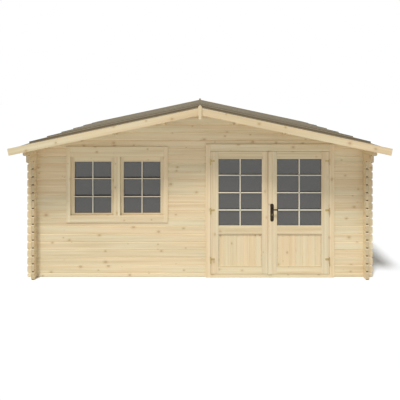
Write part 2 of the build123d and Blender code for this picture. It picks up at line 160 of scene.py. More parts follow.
straw_tint = (0.965, 0.985, 0.965, 1.0)
faded_tint = (0.930, 0.925, 0.910, 1.0)
# Painted highlight along the log joints. The bevels are made paler there, which lifts the shade on the bevels
# that face down.
joint_highlight_tint = (1.10, 1.10, 1.10, 1.0)
joint_highlight_half_height = 0.009
joint_highlight_softness = 0.65

pine_takes = [("Along", "Vector", (1.0, 0.0, 0.0)), ("Across", "Vector", (0.0, 0.0, 1.0))]
pine_takes += [("Width", "Float", 0.1), ("Start", "Float", 0.0), ("Wall", "Float", -1.0)]
pine_takes += [("Knots", "Float", 1.0), ("Variety", "Float", 1.0)]
pine_takes += [("Pale", "Color", pale_pine), ("Dark", "Color", dark_pine)]
pine_gives = (("Colour", "Color"), ("Roughness", "Float"), ("Height", "Float"))
pine, taken, given = start_group("pine grain", pine_takes, pine_gives)
spot = put(pine, "TexCoord").outputs
along = measure(pine, "DOT_PRODUCT", spot["Object"], taken["Along"])
across = measure(pine, "DOT_PRODUCT", spot["Object"], taken["Across"])
through_way = measure(pine, "CROSS_PRODUCT", taken["Along"], taken["Across"])
through = measure(pine, "DOT_PRODUCT", spot["Object"], through_way)
board_at = reckon(pine, "DIVIDE", reckon(pine, "SUBTRACT", across, taken["Start"]), taken["Width"])
board = reckon(pine, "FLOOR", board_at)
depth_step = times(pine, reckon(pine, "FLOOR", through), depth_luck_step)
number = weigh(pine, depth_step, (board, board_luck_step))
luck = put(pine, "TexWhiteNoise", (("W", number),), noise_dimensions="1D").outputs
run = weigh(pine, along, (luck["Value"], board_shift))

# Knots lie one to a cell, each with its own size or none.
knot_run = reckon(pine, "DIVIDE", run, knot_step_along)
knot_rise = reckon(pine, "ADD", reckon(pine, "DIVIDE", across, knot_step_across), number)
cell_feeds = (("Vector", join_ways(pine, knot_run, knot_rise, 0.0)), ("Scale", 1.0))
cell = put(pine, "TexVoronoi", cell_feeds, voronoi_dimensions="2D").outputs
heart = put(pine, "SeparateXYZ", (("Vector", cell["Position"]),)).outputs
chance = put(pine, "SeparateColor", (("Color", cell["Color"]),)).outputs
off_run = times(pine, reckon(pine, "SUBTRACT", knot_run, heart["X"]), knot_step_along * knot_length_share)
off_rise = times(pine, reckon(pine, "SUBTRACT", knot_rise, heart["Y"]), knot_step_across)
reach_squared = weigh(pine, times(pine, off_rise, off_rise), (off_run, off_run))
size_feeds = (("Value", chance["Red"]), ("From Min", knotless_share), ("To Max", largest_knot))
knot_size = put(pine, "MapRange", size_feeds).outputs["Result"]
knot_reach = reckon(pine, "MAXIMUM", knot_size, least_knot)
nearness = reckon(pine, "DIVIDE", reckon(pine, "SQRT", reach_squared), knot_reach)
core = times(pine, ramp(pine, nearness, *knot_core_fade, 1.0, 0.0), taken["Knots"])
rim = times(pine, ramp(pine, nearness, *knot_rim_fade), core)
halo = times(pine, ramp(pine, nearness, *knot_halo_fade, 1.0, 0.0), taken["Knots"])


def stretch(along_scale, across_scale):
    """Place in the wood, drawn out along the grain."""
    scaled = [times(pine, way, across_scale) for way in (across, through)]
    return join_ways(pine, times(pine, run, along_scale), *scaled)


# Year rings swing round the knots, and streaks and bands run along the grain.
wander = mottle(pine, stretch(0.8, 3.0))
streak = mottle(pine, stretch(1.7, 48.0), 3.0)
band = mottle(pine, stretch(0.5, 24.0))
patch = mottle(pine, stretch(0.9, 6.0))
hue = mottle(pine, stretch(0.6, 4.0), 1.0)
ring_rise = reckon(pine, "DIVIDE", weigh(pine, across, (through, ring_tilt)), ring_gap)
ring_count = weigh(pine, ring_rise, (halo, ring_knot_swing), (wander, ring_wander))
ring_swing = reckon(pine, "SINE", times(pine, ring_count, 2 * pi))
ring_share = weigh(pine, 0.5, (ring_swing, 0.5))
late_wood = reckon(pine, "POWER", ring_share, late_wood_sharpness)
dark_weights = ((late_wood, 0.22), (streak, 0.75), (band, 1.5), (patch, 0.65), (halo, 0.4))
dark_share = weigh(pine, dark_start, *dark_weights)
wood = lay_colour(pine, dark_share, taken["Pale"], taken["Dark"])
fading = times(pine, luck["Value"], taken["Variety"])
wood = lay_colour(pine, fading, wood, lay_colour(pine, 1.0, wood, faded_tint, "MULTIPLY"))
hue_share = ramp(pine, hue, 0.35, 0.65)
wood = lay_colour(pine, 1.0, wood, lay_colour(pine, hue_share, straw_tint, pink_tint), "MULTIPLY")
wood = lay_colour(pine, times(pine, core, knot_strength), wood, knot_brown)
wood = lay_colour(pine, times(pine, rim, knot_rim_strength), wood, knot_rim)

# Cut ends show the rings as arcs. On the log ends, a dark spot of painted shade at each joint, on the cut end
# and the bevels beside it, stands for the gap over each tongue.
facing = reckon(pine, "ABSOLUTE", measure(pine, "DOT_PRODUCT", spot["Normal"], taken["Along"]))
cut_end = ramp(pine, facing, 0.45, 0.65)
arc_rise = weigh(pine, across, (times(pine, through, through), end_ring_bow))
arc_count = reckon(pine, "DIVIDE", arc_rise, end_ring_gap)
arc_wave = reckon(pine, "SINE", times(pine, arc_count, 2 * pi))
arc = weigh(pine, times(pine, streak, 0.5), (arc_wave, 0.3))
end_wood = lay_colour(pine, arc, end_pine, end_ring_pine)
off_wall = reckon(pine, "SUBTRACT", reckon(pine, "ABSOLUTE", through), taken["Wall"])
off_wall = reckon(pine, "ABSOLUTE", off_wall)
half_over = reckon(pine, "FRACT", reckon(pine, "ADD", board_at, 0.5))
off_joint = reckon(pine, "ABSOLUTE", reckon(pine, "SUBTRACT", half_over, 0.5))
off_joint = times(pine, off_joint, taken["Width"])
# Dark spot of painted shade at each joint in the middle of a log end.
gap_shade_wide = ramp(pine, off_wall, groove_shade_half_width * groove_shade_softness, groove_shade_half_width, 1.0, 0.0)
gap_shade_high = ramp(pine, off_joint, groove_shade_half_height * groove_shade_softness, groove_shade_half_height, 1.0, 0.0)
log_share = reckon(pine, "GREATER_THAN", taken["Wall"], 0.0)
# Painted highlight on the bevels along each log joint.
joint_highlight_near = ramp(pine, off_joint, joint_highlight_half_height * joint_highlight_softness, joint_highlight_half_height, 1.0, 0.0)
joint_highlight_share = times(pine, log_share, joint_highlight_near)
wood = lay_colour(pine, joint_highlight_share, wood, lay_colour(pine, 1.0, wood, joint_highlight_tint, "MULTIPLY"))
wood = lay_colour(pine, cut_end, wood, end_wood)
gap_shade_share = times(pine, gap_shade_wide, gap_shade_high)
gap_shade_share = times(pine, gap_shade_share, ramp(pine, facing, 0.4, 0.6))
pine.links.new(lay_colour(pine, gap_shade_share, wood, groove_painted_shade), given["Colour"])
roughness = weigh(pine, pine_roughness, (streak, pine_roughness_spread))
pine.links.new(roughness, given["Roughness"])
grain_rise = weigh(pine, times(pine, streak, 0.5), (late_wood, 0.35), (core, 0.5))
pine.links.new(grain_rise, given["Height"])


def start_finish(name):
    """New finish with its node tree and the inputs of its shader."""
    finish = bpy.data.materials.new(name)
    finish.use_nodes = True
    return finish, finish.node_tree, finish.node_tree.nodes["Principled BSDF"].inputs


def lay_finish(tree, surface, colour, roughness, height=None, strength=0.0, depth=0.0):
    """Feeds a shader its colour and roughness, and a relief where a height is given."""
    tree.links.new(colour, surface["Base Color"])
    tree.links.new(roughness, surface["Roughness"])
    if height is not None:
        relief = put(tree, "Bump", (("Strength", strength), ("Distance", depth), ("Height", height)))
        tree.links.new(relief.outputs["Normal"], surface["Normal"])


def pine_finish(
    name, grain_way, board_way, board_width, start=0.0, knots=1.0,
    pale=pale_pine, dark=dark_pine, variety=1.0, wall=-1.0,
):
    """Planed pine with its grain along one way, in boards that lie side by side along another."""
    finish, tree, surface = start_finish(name)
    surface["Specular IOR Level"].default_value = pine_gloss
    values = {"Along": grain_way, "Across": board_way, "Width": board_width, "Start": start}
    values.update({"Knots": knots, "Variety": variety, "Pale": pale, "Dark": dark, "Wall": wall})
    grain = put(tree, "Group", values.items(), node_tree=pine).outputs
    height = grain["Height"]
    lay_finish(tree, surface, grain["Colour"], grain["Roughness"], height, grain_strength, grain_depth)
    return finish


def dress(finish, *nodes):
    """Gives solids of the frame their finish."""
    for node in nodes:
        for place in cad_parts[node].material_slots:
            place.material = finish


across_x = (1.0, 0.0, 0.0)
across_y = (0.0, 1.0, 0.0)
upright = (0.0, 0.0, 1.0)
floor_pale = (0.780, 0.615, 0.375, 1.0)
floor_dark = (0.590, 0.420, 0.215, 1.0)
bearer_pine = pine_finish("bearer pine", across_x, across_y, 0.3, pale=floor_pale, dark=floor_dark)
dress(bearer_pine, "floor_bearers")


# Floor boards
# Matched pine boards laid from front to back over the bearers and nailed down.
# Each has eased edges, so that the joints show as fine grooves.
def add_board(mesh, low, high, edge):
    """Board between two corners with its edges eased."""
    corners = [mesh.verts.new(corner) for corner in product(*zip(low, high))]
    sides = ((0, 1, 3, 2), (4, 6, 7, 5), (0, 4, 5, 1), (2, 3, 7, 6), (0, 2, 6, 4), (1, 5, 7, 3))
    faces = [mesh.faces.new([corners[i] for i in side]) for side in sides]
    edges = list({line for face in faces for line in face.edges})
    bmesh.ops.bevel(mesh, geom=edges, offset=edge, segments=1, affect="EDGES")


def add_boards(mesh, low, high, count, edge):
    """Boards side by side along X that fill the space between two corners."""
    width = (high.x - low.x) / count
    for index in range(count):
        left = low.x + index * width
        add_board(mesh, (left, low.y, low.z), (left + width, high.y, high.z), edge)


def set_up(name, data):
    """New object in the scene."""
    thing = bpy.data.objects.new(name, data)
    bpy.context.scene.collection.objects.link(thing)
    return thing


def make_piece(name, mesh, finish, body):
    """Turns a mesh into a piece that moves with a body of the frame."""
    bmesh.ops.recalc_face_normals(mesh, faces=mesh.faces)
    data = bpy.data.meshes.new(name)
    mesh.to_mesh(data)
    mesh.free()
    data.materials.append(finish)
    piece = set_up(name, data)
    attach(piece, body)
    return piece


floor_low, floor_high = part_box("floor_boards")
floor_board_count = 43
floor_board_width = (floor_high.x - floor_low.x) / floor_board_count
floor_edge = 0.0015
floor_pine = pine_finish(
    "floor pine", across_y, across_x, floor_board_width, floor_low.x, pale=floor_pale, dark=floor_dark
)
boards = bmesh.new()
add_boards(boards, floor_low, floor_high, floor_board_count, floor_edge)
floor_cover = make_piece("matched_floor_boards", boards, floor_pine, "cabin")
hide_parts("floor_boards")


# Log walls
# Planed pine logs with bevelled edges, notched where they cross so that the corners lock.
# The front and back walls start with a half log and lie half a log out of step with the sides.
log_height = 0.113
front_wall_middle = 1.8855
side_wall_middle = 2.3855
log_pale = (0.808, 0.697, 0.488, 1.0)
log_dark = (0.613, 0.472, 0.278, 1.0)
log_knots = 1.0
log_variety = 0.5
for name, grain_way, start, middle, walls in (
    ("front and back log pine", across_x, log_height / 2, front_wall_middle, ("front", "back")),
    ("side log pine", across_y, 0.0, side_wall_middle, ("left", "right")),
):
    log_look = (log_knots, log_pale, log_dark, log_variety)
    log_pine = pine_finish(name, grain_way, upright, log_height, start, *log_look, middle)
    for wall in walls:
        dress(log_pine, wall + "_wall_odd_logs", wall + "_wall_even_logs")


# Purlins
# Five planed pine beams through both gables that carry the roof boards out to the verges.
# Their tops are cut to the roof slope, and the logs are let in round them.
purlin_pine = pine_finish("purlin pine", across_y, across_x, 0.4, -0.2)
dress(purlin_pine, "roof_purlins")


# Roof boards
# Matched pine boards nailed over the purlins from ridge to eave.
# Their lower edges are bevelled, so that the joints show from below as grooves.
def join_loops(mesh, loops, ring=False):
    """Faces from each loop of points to the next, and back to the first in a ring, or else over both ends."""
    if ring:
        loops = loops + loops[:1]
    else:
        mesh.faces.new(loops[0])
        mesh.faces.new(loops[-1][::-1])
    for loop, follower in zip(loops, loops[1:]):
        for index in range(len(loop)):
            beside = (index + 1) % len(loop)
            mesh.faces.new((loop[index], follower[index], follower[beside], loop[beside]))


def add_strip(mesh, outline, start, end, place):
    """Runs an outline of points across and in depth from start to end; place turns them into X, Y and Z."""
    join_loops(mesh, [[mesh.verts.new(place(at, *point)) for point in outline] for at in (start, end)])


roof_slope = radians(12.0)
deck_thickness = 0.019
roof_board_count = 50
roof_board_groove = 0.005
deck_low, deck_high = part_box("right_roof_deck")
deck_ridge = deck_high.z - deck_thickness / cos(roof_slope)
roof_board_width = (deck_high.y - deck_low.y) / roof_board_count
for side, flip in (("right", 1), ("left", -1)):
    down_slope = (flip * cos(roof_slope), 0.0, -sin(roof_slope))
    roof_pine = pine_finish(side + " roof board pine", down_slope, across_y, roof_board_width, deck_low.y)

    def on_slope(x, y, lift):
        return flip * x, y, deck_ridge - x * tan(roof_slope) + lift / cos(roof_slope)

    boards = bmesh.new()
    for index in range(roof_board_count):
        near = deck_low.y + index * roof_board_width
        far = near + roof_board_width
        outline = [(near, roof_board_groove), (near + roof_board_groove, 0.0), (far - roof_board_groove, 0.0)]
        outline += [(far, roof_board_groove), (far, deck_thickness), (near, deck_thickness)]
        add_strip(boards, outline, 0.0, deck_high.x, on_slope)
    deck = make_piece(side + "_roof_boards", boards, roof_pine, "cabin")
    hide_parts(side + "_roof_deck")


# Roof felt
# Mineral-surfaced bitumen felt in strips from ridge to eave, each but the first lapped over the one before.
# It is nailed to the boards, folded down over the eaves, capped along the ridge and turned up at its ends.
# Its colour is darker and browner toward the front and paler toward the back.
def clouds(tree, scale, detail=4.0):
    """Cloudy value over a piece, at a scale for each axis."""
    at = put(tree, "TexCoord").outputs["Object"]
    return mottle(tree, measure(tree, "MULTIPLY", at, scale), detail)


felt_dark = (0.155, 0.137, 0.103, 1.0)
felt_pale = (0.268, 0.236, 0.178, 1.0)
felt_cut = (0.298, 0.261, 0.196, 1.0)
felt_front_tint = (0.77, 0.71, 0.60, 1.0)
felt_back_tint = (1.08, 1.08, 1.09, 1.0)
felt_tint_start = -1.7
felt_tint_end = 0.4
felt_first_thickness = 0.003
felt_first_strip = 0.646
felt_strip = 0.686
felt_grain = 0.0016
felt_pale_start = -0.09
felt_blotch = (1.4, 2.2, 1.4)
felt_gloss = 0.2
felt_roughness = 0.8
felt_roughness_spread = 0.15
grit_strength = 0.6
grit_depth = 0.001
felt, felt_tree, felt_surface = start_finish("mineral felt")
felt_surface["Specular IOR Level"].default_value = felt_gloss
felt_place = put(felt_tree, "TexCoord").outputs
felt_spot = felt_place["Object"]
felt_axes = put(felt_tree, "SeparateXYZ", (("Vector", felt_spot),)).outputs
grit_place = measure(felt_tree, "MULTIPLY", felt_spot, (1 / felt_grain,) * 3)
grit = put(felt_tree, "TexVoronoi", (("Vector", grit_place), ("Scale", 1.0))).outputs
grit_tone = put(felt_tree, "SeparateColor", (("Color", grit["Color"]),)).outputs["Red"]
blotch = clouds(felt_tree, felt_blotch)
first_seam = deck_low.y + felt_first_strip
strip_at = reckon(felt_tree, "DIVIDE", reckon(felt_tree, "SUBTRACT", felt_axes["Y"], first_seam), felt_strip)
strip_luck = put(
    felt_tree, "TexWhiteNoise", (("W", reckon(felt_tree, "FLOOR", strip_at)),), noise_dimensions="1D"
).outputs["Value"]
pale_weights = ((blotch, 0.45), (grit_tone, 0.55), (strip_luck, 0.18))
pale_share = weigh(felt_tree, felt_pale_start, *pale_weights)
felt_colour = lay_colour(felt_tree, pale_share, felt_dark, felt_pale)
level_share = reckon(felt_tree, "ABSOLUTE", measure(felt_tree, "DOT_PRODUCT", felt_place["Normal"], upright))
felt_colour = lay_colour(felt_tree, ramp(felt_tree, level_share, 0.3, 0.7), felt_cut, felt_colour)
# The felt is darker and browner toward the front and paler toward the back.
felt_toward_back = ramp(felt_tree, felt_axes["Y"], felt_tint_start, felt_tint_end)
felt_tint = lay_colour(felt_tree, felt_toward_back, felt_front_tint, felt_back_tint)
felt_colour = lay_colour(felt_tree, 1.0, felt_colour, felt_tint, "MULTIPLY")
felt_rough = weigh(felt_tree, felt_roughness, (grit_tone, felt_roughness_spread))
lay_finish(felt_tree, felt_surface, felt_colour, felt_rough, grit["Distance"], grit_strength, grit_depth)
dress(felt, "left_roof_felt", "right_roof_felt")

fold_drop = 0.034
fold_thickness = 0.0025
fold_lip = 0.003
felt_gap = 0.0004
eave_top = deck_high.z - deck_high.x * tan(roof_slope)
folds = bmesh.new()
for flip in (1, -1):
    inner = flip * (deck_high.x + felt_gap)
    outer = flip * (deck_high.x + fold_thickness)
    fold_foot = eave_top - fold_drop
    outline = [(inner, fold_foot), (outer, fold_foot), (outer, eave_top + fold_lip), (inner, eave_top)]
    add_strip(folds, outline, deck_low.y, deck_high.y, lambda y, x, z: (x, y, z))
make_piece("felt_eave_folds", folds, felt, "cabin")

felt_thickness = 0.012
felt_rise = 0.015
cap_reach = 0.13
cap_thickness = 0.0025
caps = bmesh.new()
near, far, lifts = deck_low.y, first_seam, (felt_first_thickness, felt_first_thickness)
while near < deck_high.y:
    rings = []
    for y, lift in zip((near, far), lifts):
        under = deck_high.z + (lift + felt_gap) / cos(roof_slope)
        over = under + cap_thickness / cos(roof_slope)
        drop = cap_reach * tan(roof_slope)
        corners = [(-cap_reach, over - drop), (0.0, over), (cap_reach, over - drop)]
        corners += [(cap_reach, under - drop), (0.0, under), (-cap_reach, under - drop)]
        rings.append([caps.verts.new((x, y, z)) for x, z in corners])
    join_loops(caps, rings)
    near, far = far, min(far + felt_strip, deck_high.y)
    lifts = (felt_thickness + felt_rise * (far - near) / felt_strip, felt_thickness)
make_piece("felt_ridge_caps", caps, felt, "cabin")

flap_half_width = 0.016
flap_thickness = 0.003
flap_drop = 0.004
flap_point = 0.012
flap_foot = deck_high.z + felt_thickness
apex_low, apex_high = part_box("apex_plates")
flap_top = apex_high.z - flap_drop
flap_shoulder = flap_top - flap_point
flaps = bmesh.new()
for flip in (1, -1):
    near = flip * deck_high.y
    far = flip * (deck_high.y - flap_thickness)
    outline = [(-flap_half_width, flap_foot), (flap_half_width, flap_foot), (flap_half_width, flap_shoulder)]
    outline += [(0.0, flap_top), (-flap_half_width, flap_shoulder)]
    add_strip(flaps, outline, near, far, lambda y, x, z: (x, y, z))
make_piece("felt_ridge_flaps", flaps, felt, "cabin")


# Felt nails
# Flat-headed zinc-coated nails along the folded eaves.
# They are driven about a hand's width apart through the felt into the roof boards.
def add_head(mesh, centre, toward, radius, rise, recess=0.0):
    """Head of a nail or screw that stands on a face, with a cross recess where one is given."""
    turn = Vector((0.0, 0.0, 1.0)).rotation_difference(Vector(toward)).to_matrix()
    sides = 12
    rings = []
    for ring_radius, height in ((radius, 0.0), (radius * 0.92, rise * 0.6), (radius * 0.7, rise)):
        rings.append([(ring_radius, height)] * sides)
    if recess:
        for arm, notch, height in ((0.5, 0.2, rise), (0.4, 0.15, rise - recess)):
            rings.append([(radius * (notch if step % 3 else arm), height) for step in range(sides)])
    loops = []
    for ring in rings:
        loop = []
        for step, (ring_radius, height) in enumerate(ring):
            angle = 2 * pi * step / sides
            point = Vector((ring_radius * cos(angle), ring_radius * sin(angle), height))
            loop.append(mesh.verts.new(Vector(centre) + turn @ point))
        loops.append(loop)
    join_loops(mesh, loops)


metal_roughness_spread = 0.2
metal_strength = 0.15
metal_depth = 0.0005


def metal_finish(name, dull, bright, roughness, scale=90.0):
    """Metal with worn and cloudy patches."""
    finish, tree, surface = start_finish(name)
    surface["Metallic"].default_value = 1.0
    cloud = clouds(tree, (scale,) * 3)
    colour = lay_colour(tree, cloud, dull, bright)
    worn = weigh(tree, roughness, (cloud, metal_roughness_spread))
    lay_finish(tree, surface, colour, worn, cloud, metal_strength, metal_depth)
    return finish


zinc = metal_finish("zinc-coated steel", (0.42, 0.42, 0.42, 1.0), (0.62, 0.62, 0.62, 1.0), 0.35)
felt_nail_step = 0.1
felt_nail_radius = 0.005
felt_nail_rise = 0.0012
felt_nail_drop = fold_drop * 0.4
nails = bmesh.new()
nail_count = int((deck_high.y - deck_low.y) / felt_nail_step)
for flip in (1, -1):
    for index in range(nail_count):
        y = deck_low.y + felt_nail_step * (index + 0.5)
        face = flip * (deck_high.x + fold_thickness)
        at = (face, y, eave_top - felt_nail_drop)
        add_head(nails, at, (flip, 0, 0), felt_nail_radius, felt_nail_rise)
make_piece("eave_felt_nails", nails, zinc, "cabin")


# Bargeboards
# Planed pine boards along both verges that cover the ends of the roof boards and felt.
# They are nailed to the ends of the purlins and of the top side logs.
for side, flip in (("right", 1), ("left", -1)):
    down_slope = (flip * cos(roof_slope), 0.0, -sin(roof_slope))
    square_to_slope = (flip * sin(roof_slope), 0.0, cos(roof_slope))
    barge_pine = pine_finish(side + " bargeboard pine", down_slope, square_to_slope, 0.4, 2.2)
    dress(barge_pine, side + "_bargeboards")

barge_low, barge_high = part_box("right_bargeboards")
barge_depth = 0.096
nail_radius = 0.0035
nail = (nail_radius, 0.0008)
nail_offset = 0.022
barge_nail_places = (0.515, 1.22, 1.8, 2.385)
barge_nails = bmesh.new()
for flip in (1, -1):
    for x in barge_nail_places:
        middle = barge_high.z - x * tan(roof_slope) - barge_depth / 2 / cos(roof_slope)
        for z in (middle - nail_offset, middle + nail_offset):
            for y, out in ((barge_low.y, -1), (barge_high.y, 1)):
                add_head(barge_nails, (flip * x, y, z), (0, out, 0), *nail)
make_piece("bargeboard_nails", barge_nails, zinc, "cabin")


# Apex plates
# Pointed pine plates that cover the joint of the bargeboards at both ends of the ridge.
# Each is held by two screws into the ridge purlin.
trim_upright_pine = pine_finish("upright trim pine", upright, across_x, 0.3, 0.01)
dress(trim_upright_pine, "apex_plates")
screw_radius = 0.004
screw_rise = 0.001
screw_recess = 0.0008
screw = (screw_radius, screw_rise, screw_recess)
apex_screw_inset = 0.06
apex_screws = bmesh.new()
for z in (apex_low.z + apex_screw_inset, apex_high.z - apex_screw_inset):
    for y, out in ((apex_low.y, -1), (apex_high.y, 1)):
        add_head(apex_screws, (0.0, y, z), (0, out, 0), *screw)
make_piece("apex_plate_screws", apex_screws, zinc, "cabin")


# Door frame
# Rebated pine jambs and head in the doorway over a pine threshold, jointed at the corners.
# Flat casing boards cover the joint with the logs and are nailed on from the front.
joinery_pale = (0.795, 0.693, 0.495, 1.0)
joinery_dark = (0.605, 0.470, 0.282, 1.0)
joinery_upright_pine = pine_finish(
    "upright joinery pine", upright, across_x, 0.2, 0.05, 0.7, joinery_pale, joinery_dark
)
joinery_level_pine = pine_finish("level joinery pine", across_x, upright, 0.25, 0.05, 0.7)
trim_level_pine = pine_finish("level trim pine", across_x, upright, 0.4, 0.1)


def ease_edges(width, *nodes):
    """Planes a fine bevel along the edges of solids of the frame."""
    for node in nodes:
        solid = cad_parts[node]
        weld = solid.modifiers.new("joined faces", "WELD")
        weld.merge_threshold = 0.00002
        bevel = solid.modifiers.new("eased edges", "BEVEL")
        bevel.width = width
        bevel.segments = 2
        bevel.limit_method = "ANGLE"
        bevel.angle_limit = radians(40.0)


joinery_edge = 0.002
dress(joinery_upright_pine, "door_jambs")
dress(joinery_level_pine, "door_head", "door_threshold")
dress(trim_upright_pine, "door_casing_uprights")
dress(trim_level_pine, "door_casing_top")
ease_edges(joinery_edge, "door_jambs", "door_head", "door_threshold")
ease_edges(joinery_edge, "door_casing_uprights", "door_casing_top")

casing_low, casing_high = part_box("door_casing_uprights")
top_low, top_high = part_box("door_casing_top")
casing_nail_count = 5
casing_nail_foot = 0.09
casing_nail_step = 0.435
top_nail_step = (top_high.x - top_low.x) / casing_nail_count
top_nail_drop = 0.03
casing_nails = bmesh.new()
for index in range(casing_nail_count):
    z = casing_low.z + casing_nail_foot + index * casing_nail_step
    for x in ((casing_low.x + top_low.x) / 2, (casing_high.x + top_high.x) / 2):
        add_head(casing_nails, (x, casing_low.y, z), (0, -1, 0), *nail)
    at = (top_low.x + top_nail_step * (index + 0.5), top_low.y, top_high.z - top_nail_drop)
    add_head(casing_nails, at, (0, -1, 0), *nail)
make_piece("door_casing_nails", casing_nails, zinc, "cabin")


# Door leaves
# Framed pine leaves with stiles and rails, glass above and a boarded panel below.
# A cover strip is glued along the right leaf's meeting edge, above and below the handle.
for side in ("left", "right"):
    dress(joinery_upright_pine, side + "_door_stiles")
    dress(joinery_level_pine, side + "_door_rails")
    ease_edges(joinery_edge, side + "_door_stiles", side + "_door_rails")
cover_strip_edge = 0.003
dress(joinery_upright_pine, "door_cover_strip")
ease_edges(cover_strip_edge, "door_cover_strip")


# Door panels
# Upright matched boards with grooved joints, set into the leaf's frame below the lock rail.
# A thin pine bead runs round them on both faces and holds them in.
def add_mitred_bead(mesh, low, high, outline):
    """Bead round a field between two corners. Its outline gives each point's inset from the edge and Y."""
    loops = []
    for inset, y in outline:
        left, right, foot, top = low.x + inset, high.x - inset, low.z + inset, high.z - inset
        corners = ((left, foot), (right, foot), (right, top), (left, top))
        loops.append([mesh.verts.new((x, y, z)) for x, z in corners])
    join_loops(mesh, loops, ring=True)


panel_pale = (0.800, 0.680, 0.470, 1.0)
panel_dark = (0.680, 0.542, 0.337, 1.0)
panel_variety = 0.3
panel_board_count = 7
panel_groove = 0.004
panel_tongue = Vector((0.010, 0.0, 0.010))
panel_bead_gap = 0.003
panel_bead_far = panel_bead_gap + 0.009
panel_bead_depth = 0.006
for side in ("left", "right"):
    panel_low, panel_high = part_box(side + "_door_panel")
    panel_board_width = (panel_high.x - panel_low.x) / panel_board_count
    panel_pine = pine_finish(
        side + " door panel pine", upright, across_x, panel_board_width, panel_low.x,
        pale=panel_pale, dark=panel_dark, variety=panel_variety,
    )
    boards = bmesh.new()
    add_boards(boards, panel_low, panel_high, panel_board_count, panel_groove)
    panel = make_piece(side + "_door_panel_boards", boards, panel_pine, side + "_leaf")
    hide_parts(side + "_door_panel")
    beads = bmesh.new()
    for face, out in ((panel_low.y, -1), (panel_high.y, 1)):
        bead_face = face + out * panel_bead_depth
        outline = [(panel_bead_gap, face), (panel_bead_gap, bead_face)]
        outline += [(panel_bead_far, bead_face), (panel_bead_far, face)]
        add_mitred_bead(beads, panel_low + panel_tongue, panel_high - panel_tongue, outline)
    make_piece(side + "_door_panel_beads", beads, joinery_level_pine, side + "_leaf")


# Door glass and its bars
# One sheet of clear glass a leaf, held by pine beads on the inside.
# A grid of slim cream-painted bars stands a little off both sides of the glass and makes eight panes of it.
# The level bars bear on it through dark rubber strips, which show above them as painted shade.
glass, glass_tree, glass_surface = start_finish("window glass")
glass_surface["Base Color"].default_value = (0.130, 0.122, 0.108, 1.0)
glass_surface["Transmission Weight"].default_value = 0.55
glass_surface["IOR"].default_value = 1.6
glass_surface["Specular IOR Level"].default_value = 1.0
glass_roughness = 0.02
glass_roughness_spread = 0.05
glass_film = clouds(glass_tree, (9.0, 9.0, 3.0), 3.0)
glass_sheen = weigh(glass_tree, glass_roughness, (glass_film, glass_roughness_spread))
glass_tree.links.new(glass_sheen, glass_surface["Roughness"])
dress(glass, "left_door_glass", "right_door_glass")

bar_cream = (0.830, 0.785, 0.665, 1.0)
bar_grain = (0.740, 0.680, 0.540, 1.0)
bar_upright_paint = pine_finish("upright bar paint", upright, across_x, 0.2, 0.05, 0.0, bar_cream, bar_grain)
bar_level_paint = pine_finish("level bar paint", across_x, upright, 0.12, 0.05, 0.0, bar_cream, bar_grain)
glass_tongue = Vector((0.008, 0.0, 0.008))
bead_width = 0.011
bead_depth = 0.014
door_upright_bar = 0.016
door_level_bar = 0.014
door_bar_stand_off = 0.008
door_bar_thickness = 0.008
door_bar_heights = (0.9735, 1.224, 1.4755)
# Width and lift of the dark strips of painted shade above the door's level bars.
door_shade_strip_width = 0.0215
door_shade_strip_lift = 0.00375
bar_edge = 0.0015
gasket_width = 0.006
gasket_depth = 0.002


def add_bars(mesh, field, stand_off, thickness, width, places, lap, upward):
    """Bars before and behind a sheet of glass, upward or level, with their outer edges eased."""
    low, high = field
    half = width / 2
    for face, out in ((low.y, -1), (high.y, 1)):
        back = face + out * stand_off
        front = back + out * thickness
        eased = front - out * bar_edge
        outline = [(-half, back), (-half, eased), (bar_edge - half, front)]
        outline += [(half - bar_edge, front), (half, eased), (half, back)]
        for place in places:
            if upward:
                add_strip(mesh, outline, low.z - lap, high.z + lap, lambda z, x, y: (place + x, y, z))
            else:
                add_strip(mesh, outline, low.x - lap, high.x + lap, lambda x, z, y: (x, y, place + z))


rubber_bloom = (60.0, 60.0, 60.0)
rubber_roughness = 0.6
rubber_roughness_spread = 0.2


def rubber_finish(name, dark, pale):
    """Matt rubber with a faint bloom."""
    finish, tree, surface = start_finish(name)
    bloom = clouds(tree, rubber_bloom)
    roughness = weigh(tree, rubber_roughness, (bloom, rubber_roughness_spread))
    lay_finish(tree, surface, lay_colour(tree, bloom, dark, pale), roughness)
    return finish


# Near-black rubber for the strips under the level bars, painted shade above each bar.
bar_shade_rubber = rubber_finish("bar shade strip rubber", (0.022, 0.017, 0.010, 1.0), (0.040, 0.032, 0.020, 1.0))
gasket_rubber = rubber_finish("gasket rubber", (0.070, 0.055, 0.032, 1.0), (0.110, 0.090, 0.055, 1.0))


